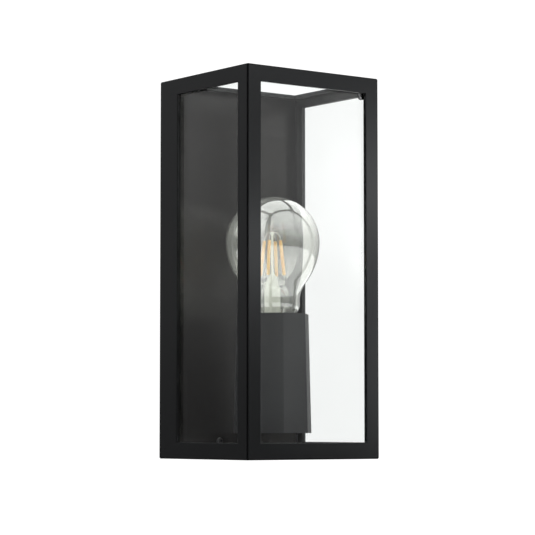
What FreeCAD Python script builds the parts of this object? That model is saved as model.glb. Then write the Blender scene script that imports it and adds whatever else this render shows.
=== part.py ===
import FreeCAD, Part
import math
import os

# Outdoor wall lantern: a glazed sheet-steel cage over a wall tray that carries one upright lamp.
# Millimetres. The wall is the plane y = 0, the front points towards -Y, +Z is up, and the
# origin is the middle of the wall face. Each function below returns the solids of one node.

V = FreeCAD.Vector
UP = V(0, 0, 1)

# ---- cage -------------------------------------------------------------------------------
HEIGHT = 250.0
WIDTH = 107.0
CAGE_DEPTH = 98.0
WALL_GAP = 1.2          # the cage's back edge stands this far off the wall
SHEET = 1.2
RAIL = 10.7
REAR_RAIL = 20.2        # the rails and stiles next to the wall are wider
SEAM = 0.08             # half of the gap between two mitred sheets
EDGE_R = 0.35
GASKET = 1.5
PANE = 3.0
PANE_LAP = 6.0          # how far a pane goes behind its rails
CORNER_LAP = 4.0        # the same where another pane is close
TOP_LAP = 3.6
PANE_CORNER_CUT = 5.5

Y_BACK = -WALL_GAP
Y_FRONT = Y_BACK - CAGE_DEPTH
HALF_W = WIDTH / 2
HALF_H = HEIGHT / 2
WINDOW_X = HALF_W - RAIL
WINDOW_Z = HALF_H - RAIL
WINDOW_Y = (Y_FRONT + RAIL, Y_BACK - REAR_RAIL)

# ---- tray, bracket and fasteners ----------------------------------------------------------
TRAY_DEPTH = 12.5
TRAY_WALL = 1.0
TRAY_HALF_W = 51.5
TRAY_HALF_H = 122.6
TRAY_BEND_R = 2.5
BRACKET_HALF_W = 15.0
BRACKET_T = 2.0
BRACKET_LEG = 10.0
SLOT_Z = 50.0
SLOT_LENGTH = 14.0
SLOT_R = 2.6
CABLE_Z = -22.0
CABLE_R = 4.0
GROMMET_R = 7.5
FIXING_X = 9.0          # the top and bottom screws, off the centre
FIXING_Y = -5.6
M4_R = 1.95
M3_R = 1.45
WASHER_T = 1.1

# ---- lampholder ---------------------------------------------------------------------------
LAMP_Y = -54.9
SLEEVE_TOP = -30.5
SLEEVE_BOTTOM = -108.2
SLEEVE_R_TOP = 23.3     # to the corners of the octagon
SLEEVE_R_BOTTOM = 25.2
SLEEVE_WALL = 1.2
SLEEVE_EDGE_R = 0.8
ARM_HALF_W = 10.0
ARM_T = 1.5
ARM_EAR = 15.0
ARM_BOTTOM = SLEEVE_BOTTOM - 11.5
ARM_FRONT = LAMP_Y - 10.0
ARM_SCREW_X = 12.5
ARM_SCREW_Z = SLEEVE_BOTTOM - 5.4
NIPPLE_R = 5.0
NIPPLE_BORE = 3.6
WIRE_R = 1.0
WIRE_X = 1.4
WIRE_Z = SLEEVE_BOTTOM - 7.3
WIRE_BACK_Y = -7.0
BUSHING_R = 4.0
SOCKET_R = 17.5
SOCKET_TOP = -35.0
SOCKET_FLOOR = -66.0
SOCKET_BOTTOM = -84.0

# ---- lamp (60 mm pear-shaped bulb on a 27 mm screw cap) --------------------------------------
BULB_R = 29.8
BULB_Z = 17.0
BULB_WALL = 0.8
BELLY_R = 44.0          # radius of the lower side of the bulb
BELLY_ANGLE = 37.0      # degrees below the equator where the neck curve starts
NECK_R = 16.8
NECK_END = -25.5
MOUTH_R = 11.7
MOUTH_TOP = -34.6
MOUTH_END = -37.5
TIP_Z = -60.1
PITCH = 3.629
THREAD_R = 12.65        # mean radius of the cap's rolled thread
THREAD_A = 0.45         # half its depth
THREAD_PLAY = 0.3
THREAD_PHASE = -45.0    # height of a crest on the +X side
FILAMENTS = 4


# ---- helpers -----------------------------------------------------------------------------
def box(x, y, z):
    return Part.makeBox(x[1] - x[0], y[1] - y[0], z[1] - z[0], V(x[0], y[0], z[0]))


def rod(radius, start, end):
    axis = end.sub(start)
    return Part.makeCylinder(radius, axis.Length, start, axis)


def tube(outer, inner, start, end):
    return rod(outer, start, end).cut(rod(inner, start, end))


def prism(corners, z_low, z_high):
    points = [V(x, y, z_low) for x, y in corners]
    return Part.Face(Part.makePolygon(points + points[:1])).extrude(V(0, 0, z_high - z_low))


def polygon(count, radius, centre, first_angle):
    angles = [first_angle + 2 * math.pi * k / count for k in range(count)]
    return [(centre.x + radius * math.cos(a), centre.y + radius * math.sin(a)) for a in angles]


def turned(profile, x=0.0, y=LAMP_Y):
    """Solid of revolution about the vertical line at (x, y); profile is a list of (r, z)."""
    points = [V(r, 0, z) for r, z in profile]
    face = Part.Face(Part.makePolygon(points + points[:1]))
    solid = face.revolve(V(0, 0, 0), UP, 360)
    solid.translate(V(x, y, 0))
    return solid


def round_edges(shape, radius, wanted):
    return shape.makeFillet(radius, [e for e in shape.Edges if wanted(e)])


def on_plane(axis, value):
    return lambda edge: all(abs(getattr(v.Point, axis) - value) < 1e-6 for v in edge.Vertexes)


def along(axis):
    def test(edge):
        if len(edge.Vertexes) < 2:
            return False
        run = edge.Vertexes[1].Point.sub(edge.Vertexes[0].Point)
        return abs(abs(getattr(run, axis)) - run.Length) < 1e-6
    return test


def fused(shapes):
    return shapes[0].multiFuse(shapes[1:]).removeSplitter()


def save(name, solids):
    shapes = solids if isinstance(solids, list) else [solids]
    for shape in shapes:
        assert shape.isValid() and shape.Volume > 0, name
    whole = shapes[0] if len(shapes) == 1 else Part.makeCompound(shapes)
    whole.exportStep("parts/" + name + ".step")


# ---- cage sheets ----------------------------------------------------------------------------
def mitred_sheet(place, outer, inner, u, v, mitred):
    """A sheet whose mitred edges slope at 45 degrees; place turns (u, v, depth) into a point."""
    def outline(depth, cut):
        low_u, high_u = u[0] + cut * mitred[0], u[1] - cut * mitred[1]
        low_v, high_v = v[0] + cut * mitred[2], v[1] - cut * mitred[3]
        corners = [(low_u, low_v), (high_u, low_v), (high_u, high_v), (low_u, high_v)]
        points = [place(a, b, depth) for a, b in corners]
        return Part.makePolygon(points + points[:1])
    return Part.makeLoft([outline(outer, SEAM), outline(inner, SEAM + SHEET)], True, True)


def front_frame():
    sheet = mitred_sheet(lambda a, b, d: V(a, d, b), Y_FRONT, Y_FRONT + SHEET,
                         (-HALF_W, HALF_W), (-HALF_H, HALF_H), (1, 1, 1, 1))
    window = box((-WINDOW_X, WINDOW_X), (Y_FRONT - 1, Y_FRONT + 5), (-WINDOW_Z, WINDOW_Z))
    return round_edges(sheet.cut(window), EDGE_R, on_plane("y", Y_FRONT))


def side_frame(side):
    outer = side * HALF_W
    sheet = mitred_sheet(lambda a, b, d: V(d, a, b), outer, outer - side * SHEET,
                         (Y_FRONT, Y_BACK), (-HALF_H, HALF_H), (1, 0, 1, 1))
    window = box((-HALF_W - 5, HALF_W + 5), WINDOW_Y, (-WINDOW_Z, WINDOW_Z))
    return round_edges(sheet.cut(window), EDGE_R, on_plane("x", outer))


def end_frame(side, notch_r):
    """Top (side 1) or bottom (side -1) frame, with two notches open towards the wall."""
    outer = side * HALF_H
    sheet = mitred_sheet(lambda a, b, d: V(a, b, d), outer, outer - side * SHEET,
                         (-HALF_W, HALF_W), (Y_FRONT, Y_BACK), (1, 1, 1, 0))
    z = (min(outer, outer - side * SHEET) - 1, max(outer, outer - side * SHEET) + 1)
    window = box((-WINDOW_X, WINDOW_X), WINDOW_Y, z)
    frame = round_edges(sheet.cut(window), EDGE_R, on_plane("z", outer))
    for x in (-FIXING_X, FIXING_X):
        slot = box((x - notch_r, x + notch_r), (FIXING_Y, 1), z)
        frame = frame.cut(slot.fuse(rod(notch_r, V(x, FIXING_Y, z[0]), V(x, FIXING_Y, z[1]))))
    return frame


# ---- panes and their gaskets ------------------------------------------------------------------
GASKET_OUT = SHEET              # depths measured inwards from the outside of the cage
PANE_OUT = SHEET + GASKET
PANE_IN = PANE_OUT + PANE
FRONT_PANE_X = WINDOW_X + PANE_LAP
PANE_Z = WINDOW_Z + PANE_LAP
SIDE_PANE_Y = (WINDOW_Y[0] - CORNER_LAP, WINDOW_Y[1] + PANE_LAP)
TOP_PANE_X = WINDOW_X + TOP_LAP
TOP_PANE_Y = (WINDOW_Y[0] - CORNER_LAP, WINDOW_Y[1] + CORNER_LAP)
GASKET_BACKSET = 0.2
ARRIS = 0.4


def span(face, side, near, far):
    ends = (face - side * near, face - side * far)
    return min(ends), max(ends)


def front_slab(near, far, x, z):
    return box((-x, x), (Y_FRONT + near, Y_FRONT + far), (-z, z))


def side_slab(side, near, far, y, z):
    return box(span(side * HALF_W, side, near, far), y, (-z, z))


def top_slab(near, far, x, y, cut):
    corners = [(-x, y[0] + cut), (-x + cut, y[0]), (x - cut, y[0]), (x, y[0] + cut),
               (x, y[1] - cut), (x - cut, y[1]), (-x + cut, y[1]), (-x, y[1] - cut)]
    return prism(corners, HALF_H - far, HALF_H - near)


def widened(y, by):
    return y[0] - by, y[1] + by


def pane(shape):
    return shape.makeChamfer(ARRIS, shape.Edges)


def front_pane():
    return pane(front_slab(PANE_OUT, PANE_IN, FRONT_PANE_X, PANE_Z))


def side_pane(side):
    return pane(side_slab(side, PANE_OUT, PANE_IN, SIDE_PANE_Y, PANE_Z))


def top_pane():
    return pane(top_slab(PANE_OUT, PANE_IN, TOP_PANE_X, TOP_PANE_Y, PANE_CORNER_CUT))


def front_gasket():
    hole = front_slab(0, 10, WINDOW_X + GASKET_BACKSET, WINDOW_Z + GASKET_BACKSET)
    return front_slab(GASKET_OUT, PANE_OUT, FRONT_PANE_X, PANE_Z).cut(hole)


def side_gasket(side):
    hole = side_slab(side, 0, 10, widened(WINDOW_Y, GASKET_BACKSET), WINDOW_Z + GASKET_BACKSET)
    return side_slab(side, GASKET_OUT, PANE_OUT, SIDE_PANE_Y, PANE_Z).cut(hole)


def top_gasket():
    hole = box((-WINDOW_X - GASKET_BACKSET, WINDOW_X + GASKET_BACKSET),
               widened(WINDOW_Y, GASKET_BACKSET), (0, HALF_H))
    ring = top_slab(GASKET_OUT, PANE_OUT, TOP_PANE_X, TOP_PANE_Y, PANE_CORNER_CUT)
    return ring.cut(hole)


# ---- what holds the panes ---------------------------------------------------------------------
CLIP_T = 0.8
CLIP_SIZE = 11.0
CLIP_Z = HALF_H - PANE_IN       # the clips press up against the top pane
STUD_X = 45.0
STUD_Y = -90.5
STUD_R = 1.25
STUD_END = 113.4
NUT_R = 2.2
NUT_END = 110.8
ANGLE_TOP = 15.7                # the corner angles' height above the cage's bottom
ANGLE_LEG = 2.5
PANE_FACE_X = HALF_W - PANE_IN
PANE_FACE_Y = Y_FRONT + PANE_IN


def top_clips():
    """Small plates under the top pane's front corners."""
    clips = []
    reach = PANE_FACE_X - 0.5
    ys = (PANE_FACE_Y + 0.2, PANE_FACE_Y + 0.2 + CLIP_SIZE)
    for side in (-1, 1):
        xs = sorted((side * reach, side * (reach - CLIP_SIZE)))
        plate = round_edges(box(xs, ys, (CLIP_Z - CLIP_T, CLIP_Z)), 2.0, along("z"))
        x = side * STUD_X
        hole = rod(STUD_R + 0.15, V(x, STUD_Y, CLIP_Z - 5), V(x, STUD_Y, CLIP_Z + 5))
        clips.append(plate.cut(hole))
    return clips


def clip_studs():
    return [rod(STUD_R, V(x, STUD_Y, STUD_END), V(x, STUD_Y, HALF_H - SHEET))
            for x in (-STUD_X, STUD_X)]


def clip_nuts():
    """Small dome nuts: a plain barrel with a rounded closed end that points down."""
    top = CLIP_Z - CLIP_T
    dome = [(NUT_R * math.cos(math.radians(a)), NUT_END + NUT_R * (1 - math.sin(math.radians(a))))
            for a in range(0, 90, 15)]
    profile = [(0, NUT_END)] + dome[::-1] + [(NUT_R, top), (STUD_R + 0.05, top),
                                            (STUD_R + 0.05, STUD_END - 0.1), (0, STUD_END - 0.1)]
    return [turned(profile, x, STUD_Y) for x in (-STUD_X, STUD_X)]


def corner_angles():
    """Small angles welded in the bottom corners: the front ones hold two panes, the rear ones one."""
    angles = []
    z = (-HALF_H + SHEET, -HALF_H + ANGLE_TOP)
    rear = SIDE_PANE_Y[1]
    for side in (-1, 1):
        inner = sorted((side * PANE_FACE_X, side * (PANE_FACE_X - CLIP_T)))
        wide = sorted((side * PANE_FACE_X, side * (PANE_FACE_X - ANGLE_LEG)))
        out = sorted((side * (PANE_FACE_X - CLIP_T), side * (HALF_W - SHEET)))
        angles.append(fused([box(inner, (PANE_FACE_Y, PANE_FACE_Y + ANGLE_LEG), z),
                             box(wide, (PANE_FACE_Y, PANE_FACE_Y + CLIP_T), z)]))
        angles.append(fused([box(inner, (rear - ANGLE_LEG, rear + CLIP_T), z),
                             box(out, (rear, rear + CLIP_T), z)]))
    return angles


# ---- tray and wall bracket --------------------------------------------------------------------
def tray_block(inset, depth):
    x, z = TRAY_HALF_W - inset, TRAY_HALF_H - inset
    block = box((-x, x), (-depth, 0), (-z, z))
    block = round_edges(block, TRAY_BEND_R - inset, along("y"))
    return round_edges(block, TRAY_BEND_R - inset, on_plane("y", -depth))


def backplate():
    tray = tray_block(0, TRAY_DEPTH).cut(tray_block(TRAY_WALL, TRAY_DEPTH - TRAY_WALL))
    for x in (-FIXING_X, FIXING_X):
        tray = tray.cut(rod(M4_R + 0.25, V(x, FIXING_Y, -HALF_H), V(x, FIXING_Y, HALF_H)))
    for x in (-ARM_SCREW_X, ARM_SCREW_X):
        tray = tray.cut(rod(M3_R + 0.2, V(x, -20, ARM_SCREW_Z), V(x, 0, ARM_SCREW_Z)))
    return tray.cut(rod(BUSHING_R, V(0, -20, WIRE_Z), V(0, -5, WIRE_Z)))


def wall_bracket():
    top = TRAY_HALF_H - TRAY_WALL
    x = (-BRACKET_HALF_W, BRACKET_HALF_W)
    plate = fused([box(x, (-BRACKET_T, 0), (-top, top)),
                   box(x, (-BRACKET_LEG, 0), (top - BRACKET_T, top)),
                   box(x, (-BRACKET_LEG, 0), (-top, -top + BRACKET_T))])
    for z in (-SLOT_Z, SLOT_Z):
        half = SLOT_LENGTH / 2 - SLOT_R
        ends = [rod(SLOT_R, V(0, -5, z + s * half), V(0, 5, z + s * half)) for s in (-1, 1)]
        plate = plate.cut(fused(ends + [box((-SLOT_R, SLOT_R), (-5, 5), (z - half, z + half))]))
    plate = plate.cut(rod(GROMMET_R - 1.5, V(0, -5, CABLE_Z), V(0, 5, CABLE_Z)))
    for x_fix in (-FIXING_X, FIXING_X):
        plate = plate.cut(rod(M4_R + 0.05, V(x_fix, FIXING_Y, -HALF_H), V(x_fix, FIXING_Y, HALF_H)))
    for x_hole, z_hole in block_screw_places() + [EARTH_AT]:
        plate = plate.cut(rod(M3_R + 0.05, V(x_hole, -5, z_hole), V(x_hole, 5, z_hole)))
    return plate


def cable_grommet():
    """Rubber grommet that lies in the bracket's hole, flush with the wall."""
    neck = GROMMET_R - 1.5
    wide = rod(GROMMET_R, V(0, -BRACKET_T - 1.5, CABLE_Z), V(0, -BRACKET_T, CABLE_Z))
    body = wide.fuse(rod(neck, V(0, -BRACKET_T, CABLE_Z), V(0, 0, CABLE_Z)))
    return body.cut(rod(CABLE_R, V(0, -10, CABLE_Z), V(0, 10, CABLE_Z))).removeSplitter()


def wall_gasket():
    thick, wide = 2.0, 4.0
    x, z = TRAY_HALF_W - TRAY_WALL - 0.1, TRAY_HALF_H - TRAY_WALL - 2.3
    ring = box((-x, x), (-thick, 0), (-z, z))
    return ring.cut(box((-x + wide, x - wide), (-5, 5), (-z + wide, z - wide))).cut(
        box((-BRACKET_HALF_W - 0.2, BRACKET_HALF_W + 0.2), (-5, 5), (-HALF_H, HALF_H)))


def cage_screws():
    """Pan heads above the cage's top, shanks down into the bracket's top leg."""
    head_r, head_h = 4.0, 2.4
    top = HALF_H + 0.1
    profile = [(0, TRAY_HALF_H - 12), (M4_R, TRAY_HALF_H - 12), (M4_R, top), (head_r, top),
               (head_r, top + 0.5 * head_h), (0.75 * head_r, top + head_h), (0, top + head_h)]
    screws = [turned(profile, x, FIXING_Y) for x in (-FIXING_X, FIXING_X)]
    return [s.cut(cross_recess(V(x, FIXING_Y, top + head_h))) for s, x in
            zip(screws, (-FIXING_X, FIXING_X))]


def cross_recess(at, deep=1.3, arm=1.7, wide=0.7):
    bars = [box((at.x - a, at.x + a), (at.y - b, at.y + b), (at.z - deep, at.z + 1))
            for a, b in ((arm, wide / 2), (wide / 2, arm))]
    return bars[0].fuse(bars[1])


def tray_screws():
    """Low heads that stay inside the thickness of the cage's bottom frame."""
    head_r, head_h = 3.9, 2.1
    under = -TRAY_HALF_H
    profile = [(0, under - head_h), (head_r - 0.5, under - head_h), (head_r, under - 1.4),
               (head_r, under), (M4_R, under), (M4_R, under + 9), (0, under + 9)]
    screws = [turned(profile, x, FIXING_Y) for x in (-FIXING_X, FIXING_X)]
    recess = [cross_recess(V(x, FIXING_Y, under - head_h + 1.3), 2.3) for x in (-FIXING_X, FIXING_X)]
    return [s.cut(r) for s, r in zip(screws, recess)]


def spacer_washers():
    return [tube(4.5, M4_R + 0.1, V(x, FIXING_Y, TRAY_HALF_H),
                 V(x, FIXING_Y, TRAY_HALF_H + WASHER_T)) for x in (-FIXING_X, FIXING_X)]


# ---- wiring behind the tray ---------------------------------------------------------------------
BLOCK_X = 13.0
BLOCK_Z = (-84.0, -67.0)
BLOCK_DEPTH = 8.5
POLE = 8.0
EARTH_AT = (8.0, 22.0)


def block_screw_places():
    return [(x, sum(BLOCK_Z) / 2) for x in (-POLE / 2, POLE / 2)]


def pole_places():
    return [(x, z) for x in (-POLE, 0.0, POLE) for z in (BLOCK_Z[0] + 4, BLOCK_Z[1] - 4)]


def terminal_block():
    front = -BRACKET_T - BLOCK_DEPTH
    block = box((-BLOCK_X, BLOCK_X), (front, -BRACKET_T), BLOCK_Z)
    block = round_edges(block, 1.0, on_plane("y", front))
    for x, z in pole_places():
        block = block.cut(rod(2.2, V(x, front - 1, z), V(x, front + 4, z)))
    for x, z in block_screw_places():
        block = block.cut(rod(M3_R + 0.1, V(x, front - 1, z), V(x, 0, z)))
        block = block.cut(rod(2.9, V(x, front - 1, z), V(x, front + 2.5, z)))
    for x in (-POLE, 0.0, POLE):
        block = block.cut(rod(WIRE_R + 0.3, V(x, WIRE_BACK_Y + 1, -200), V(x, WIRE_BACK_Y + 1, 0)))
    return block


def terminal_screws():
    front = -BRACKET_T - BLOCK_DEPTH
    slot = box((-5, 5), (-0.8, 0.8), (-0.3, 0.3))
    screws = []
    for x, z in pole_places():
        screw = rod(2.1, V(x, front + 1, z), V(x, front + 2.4, z))
        cut = slot.copy()
        cut.translate(V(x, front + 0.8, z))
        screws.append(screw.cut(cut))
    return screws


def block_screws():
    front = -BRACKET_T - BLOCK_DEPTH + 0.5
    return [fused([rod(2.7, V(x, front, z), V(x, front + 2, z)),
                   rod(M3_R, V(x, front + 2, z), V(x, -0.3, z))])
            for x, z in block_screw_places()]


def earth_tag():
    x, z = EARTH_AT
    y = (-BRACKET_T - 0.8, -BRACKET_T)
    eye = rod(4.0, V(x, y[0], z), V(x, y[1], z))
    tail = box((x - 1.8, x + 1.8), y, (z - 10, z))
    return fused([eye, tail]).cut(rod(M3_R + 0.1, V(x, -5, z), V(x, 5, z)))


def earth_screw():
    x, z = EARTH_AT
    face = -BRACKET_T - 0.8
    return fused([rod(3.2, V(x, face - 2, z), V(x, face, z)),
                  rod(M3_R, V(x, face, z), V(x, -0.3, z))])


def bent_tube(points, radius, bend):
    """A round wire along straight runs joined by arcs that are tangent to both."""
    edges = []
    start = points[0]
    for before, corner, after in zip(points, points[1:], points[2:]):
        into = corner.sub(before).normalize()
        out = after.sub(corner).normalize()
        half_turn = into.getAngle(out) / 2
        back_off = bend * math.tan(half_turn)
        enter = corner.sub(into * back_off)
        leave = corner.add(out * back_off)
        towards = out.sub(into).normalize()
        centre = corner.add(towards * (bend / math.cos(half_turn)))
        middle = centre.sub(towards * bend)
        edges += [Part.LineSegment(start, enter).toShape(), Part.Arc(enter, middle, leave).toShape()]
        start = leave
    edges.append(Part.LineSegment(start, points[-1]).toShape())
    path = Part.Wire(edges)
    circle = Part.Wire([Part.Circle(points[0], points[1].sub(points[0]), radius).toShape()])
    return path.makePipeShell([circle], True, True)


def lamp_wire(side):
    x = side * WIRE_X
    pole = side * POLE
    points = [V(x, LAMP_Y, SOCKET_FLOOR - 5), V(x, LAMP_Y, WIRE_Z), V(x, WIRE_BACK_Y, WIRE_Z),
              V(x, WIRE_BACK_Y, -102), V(pole, WIRE_BACK_Y + 1, -94),
              V(pole, WIRE_BACK_Y + 1, BLOCK_Z[0] + 2)]
    return bent_tube(points, WIRE_R, 3.0)


def earth_wire():
    x, z = EARTH_AT
    y = -BRACKET_T - 0.8 - WIRE_R
    points = [V(POLE, WIRE_BACK_Y + 1, BLOCK_Z[1] - 2), V(POLE, WIRE_BACK_Y + 1, -58),
              V(13, WIRE_BACK_Y, -46), V(13, WIRE_BACK_Y, -4), V(x, y, 6), V(x, y, z - 4.5)]
    return bent_tube(points, WIRE_R, 3.0)


def wire_bushing():
    front, rear = -TRAY_DEPTH - ARM_T, -TRAY_DEPTH + TRAY_WALL
    body = fused([rod(BUSHING_R, V(0, front, WIRE_Z), V(0, rear, WIRE_Z)),
                  rod(BUSHING_R + 0.5, V(0, rear, WIRE_Z), V(0, rear + 1.2, WIRE_Z))])
    return body.cut(rod(2.9, V(0, -20, WIRE_Z), V(0, 0, WIRE_Z)))


# ---- arm, sleeve and socket --------------------------------------------------------------------
def arm():
    """Folded channel, open below and closed in front, with an eared plate against the tray."""
    rear = -TRAY_DEPTH
    z = (ARM_BOTTOM, SLEEVE_BOTTOM)
    y = (ARM_FRONT, rear)
    inner = ARM_HALF_W - ARM_T
    channel = box((-ARM_HALF_W, ARM_HALF_W), y, z)
    channel = round_edges(channel, 1.2, lambda e: along("y")(e) and on_plane("z", z[1])(e))
    channel = channel.cut(box((-inner, inner), (y[0] + ARM_T, y[1] + 1), (z[0] - 1, z[1] - ARM_T)))
    ears = box((-ARM_EAR, ARM_EAR), (rear - ARM_T, rear), z)
    ears = round_edges(ears, 1.5, along("y"))
    body = channel.fuse(ears).removeSplitter()
    body = body.cut(rod(NIPPLE_R + 0.1, V(0, LAMP_Y, -130), V(0, LAMP_Y, -100)))
    body = body.cut(rod(BUSHING_R, V(0, rear - 5, WIRE_Z), V(0, 0, WIRE_Z)))
    for x in (-ARM_SCREW_X, ARM_SCREW_X):
        body = body.cut(rod(M3_R + 0.2, V(x, -20, ARM_SCREW_Z), V(x, 0, ARM_SCREW_Z)))
    return body


def arm_screws():
    face = -TRAY_DEPTH - ARM_T
    screws = []
    for x in (-ARM_SCREW_X, ARM_SCREW_X):
        head = rod(2.3, V(x, face - 1.9, ARM_SCREW_Z), V(x, face, ARM_SCREW_Z))
        head = round_edges(head, 0.9, on_plane("y", face - 1.9))
        shank = rod(M3_R, V(x, face, ARM_SCREW_Z), V(x, face + 5.8, ARM_SCREW_Z))
        screws.append(fused([head, shank]))
    return screws


def arm_nuts():
    rear = -TRAY_DEPTH + TRAY_WALL
    nuts = []
    for x in (-ARM_SCREW_X, ARM_SCREW_X):
        hexagon = prism(polygon(6, 3.1, V(0, 0, 0), 0.0), 0, 2.4)
        hexagon.rotate(V(0, 0, 0), V(1, 0, 0), -90)
        hexagon.translate(V(x, rear, ARM_SCREW_Z))
        nuts.append(hexagon.cut(rod(M3_R + 0.03, V(x, -20, ARM_SCREW_Z), V(x, 0, ARM_SCREW_Z))))
    return nuts


def octagon(radius, z):
    points = [V(x, y, z) for x, y in polygon(8, radius, V(0, LAMP_Y, 0), math.pi / 8)]
    return Part.makePolygon(points + points[:1])


def sleeve():
    inset = SLEEVE_WALL / math.cos(math.pi / 8)
    outer = Part.makeLoft([octagon(SLEEVE_R_BOTTOM, SLEEVE_BOTTOM),
                           octagon(SLEEVE_R_TOP, SLEEVE_TOP)], True, True)
    slanted = [e for e in outer.Edges if e.BoundBox.ZLength > 1]
    outer = outer.makeFillet(SLEEVE_EDGE_R, slanted)
    floor = SLEEVE_BOTTOM + 1.5
    inner = Part.makeLoft([octagon(SLEEVE_R_BOTTOM - inset, floor),
                           octagon(SLEEVE_R_TOP - inset, SLEEVE_TOP + 0.01)], True, True)
    hole = rod(NIPPLE_R + 0.1, V(0, LAMP_Y, SLEEVE_BOTTOM - 5), V(0, LAMP_Y, floor + 5))
    return outer.cut(inner).cut(hole)


NUT_T = 2.5
NIPPLE_END = SLEEVE_BOTTOM - 5.2


def nipple():
    return turned([(NIPPLE_BORE, NIPPLE_END), (NIPPLE_R, NIPPLE_END), (NIPPLE_R, SOCKET_BOTTOM + 6),
                   (NIPPLE_BORE, SOCKET_BOTTOM + 6)])


def lock_washer():
    """Toothed washer between the arm and the lower nut."""
    high = SLEEVE_BOTTOM - ARM_T
    ring = rod(6.6, V(0, LAMP_Y, high - 0.8), V(0, LAMP_Y, high))
    teeth = []
    for k in range(12):
        tooth = box((6.0, 7.6), (LAMP_Y - 0.8, LAMP_Y + 0.8), (high - 0.8, high))
        tooth.rotate(V(0, LAMP_Y, 0), UP, 30.0 * k)
        teeth.append(tooth)
    bore = rod(NIPPLE_R + 0.1, V(0, LAMP_Y, high - 5), V(0, LAMP_Y, high + 5))
    return fused([ring] + teeth).cut(bore)


def nipple_nuts():
    upper = SLEEVE_BOTTOM + 1.5
    lower = SLEEVE_BOTTOM - ARM_T - 0.8 - NUT_T
    nuts = []
    for z in (upper, lower):
        nut = prism(polygon(6, 7.5, V(0, LAMP_Y, 0), 0.0), z, z + NUT_T)
        nuts.append(nut.cut(rod(NIPPLE_R + 0.02, V(0, LAMP_Y, z - 1), V(0, LAMP_Y, z + 5))))
    return nuts


def socket_body():
    wall = SOCKET_R - 1.9
    return turned([(SOCKET_R - 0.8, SOCKET_TOP), (SOCKET_R, SOCKET_TOP - 0.8), (SOCKET_R, SOCKET_FLOOR),
                   (2.0, SOCKET_FLOOR), (2.0, SOCKET_FLOOR + 2.5), (wall, SOCKET_FLOOR + 2.5),
                   (wall, SOCKET_TOP)])


def socket_base():
    wall = SOCKET_R - 2.0
    low = SOCKET_BOTTOM
    return turned([(NIPPLE_R + 0.02, low), (SOCKET_R - 4, low), (SOCKET_R, low + 6),
                   (SOCKET_R, SOCKET_FLOOR), (wall, SOCKET_FLOOR), (wall, low + 7),
                   (NIPPLE_R + 3, low + 3), (NIPPLE_R + 3, low + 6.5), (NIPPLE_R + 0.02, low + 6.5)])


def socket_contact():
    """Centre contact: a sprung brass tongue bent over the socket's floor."""
    floor = SOCKET_FLOOR + 2.5
    foot = box((-10, -4), (LAMP_Y - 2.5, LAMP_Y + 2.5), (floor, floor + 0.6))
    riser = box((-4.6, -4), (LAMP_Y - 2.5, LAMP_Y + 2.5), (floor, TIP_Z - 0.3))
    tongue = box((-4.6, 4), (LAMP_Y - 2.5, LAMP_Y + 2.5), (TIP_Z - 0.9, TIP_Z - 0.3))
    return fused([foot, riser, tongue])


# ---- rolled screw threads --------------------------------------------------------------------
def thread_depth(z, low, high, run_out=2.0):
    """1 along the thread, running out smoothly to 0 at both ends."""
    inside = min(z - low, high - z) / run_out
    inside = min(max(inside, 0.0), 1.0)
    return inside * inside * (3 - 2 * inside)


def thread_surface(radius, z_values, low, high, ends):
    """Wavy screw surface about the lamp's axis; ends is +1 or -1: how it runs out."""
    turns = 32
    rows = []
    for z in z_values:
        full = thread_depth(z, low, high)
        row = []
        for k in range(turns + 1):
            angle = 2 * math.pi * (k % turns) / turns
            wave = math.cos(2 * math.pi * (z - THREAD_PHASE) / PITCH - angle)
            r = radius(z) + THREAD_A * (full * wave + ends * (1 - full))
            row.append(V(r * math.cos(angle), LAMP_Y + r * math.sin(angle), z))
        rows.append(row)
    surface = Part.BSplineSurface()
    surface.interpolate(rows)
    return surface.toShape()


def threaded_core(radius, z_values, low, high, ends):
    side = thread_surface(radius, z_values, low, high, ends)
    rims = [Part.Wire([e for e in side.Edges if on_plane("z", z)(e)][:1])
            for z in (z_values[0], z_values[-1])]
    shell = Part.makeShell([side] + [Part.Face(rim) for rim in rims])
    shell.sewShape()
    return Part.makeSolid(shell)


def rolled_shell(radius, thickness, z_low, z_high, low, high, ends):
    """Thin threaded tube; radius gives its outer mean radius at a height."""
    count = round((z_high - z_low) / (PITCH / 10))
    z_values = [z_low + (z_high - z_low) * k / count for k in range(count + 1)]
    outer = threaded_core(radius, z_values, low, high, ends)
    inner = threaded_core(lambda z: radius(z) - thickness, z_values, low, high, ends)
    return outer.cut(inner).Solids[0]


CAP_TOP = -34.6
CAP_BOTTOM = -55.6
CAP_THREAD = (-53.4, -37.2)
CAP_WALL = 0.35
SOCKET_THREAD = (-59.5, -37.8)


def cap_radius(z):
    """Mean outer radius of the cap: a wider skirt on top and a taper below the thread."""
    skirt = 1.2 * min(max((z - CAP_THREAD[1]) / 1.2, 0.0), 1.0)
    taper = 2.4 * min(max((CAP_THREAD[0] - z) / 2.2, 0.0), 1.0) ** 2
    return THREAD_R + skirt - taper


def bulb_cap():
    return rolled_shell(cap_radius, CAP_WALL, CAP_BOTTOM, CAP_TOP, CAP_THREAD[0], CAP_THREAD[1], -1)


def socket_shell():
    wall = 0.5
    return rolled_shell(lambda z: THREAD_R + THREAD_PLAY + wall, wall, SOCKET_THREAD[0],
                        SOCKET_THREAD[1], SOCKET_THREAD[0], SOCKET_THREAD[1], 1)


# ---- lamp -----------------------------------------------------------------------------------
def arc(centre, radius, first, last):
    """Arc in the XZ half plane between two angles in degrees."""
    def at(angle):
        a = math.radians(angle)
        return V(centre[0] + radius * math.cos(a), 0, centre[1] + radius * math.sin(a))
    return Part.Arc(at(first), at((first + last) / 2), at(last)).toShape()


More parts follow.
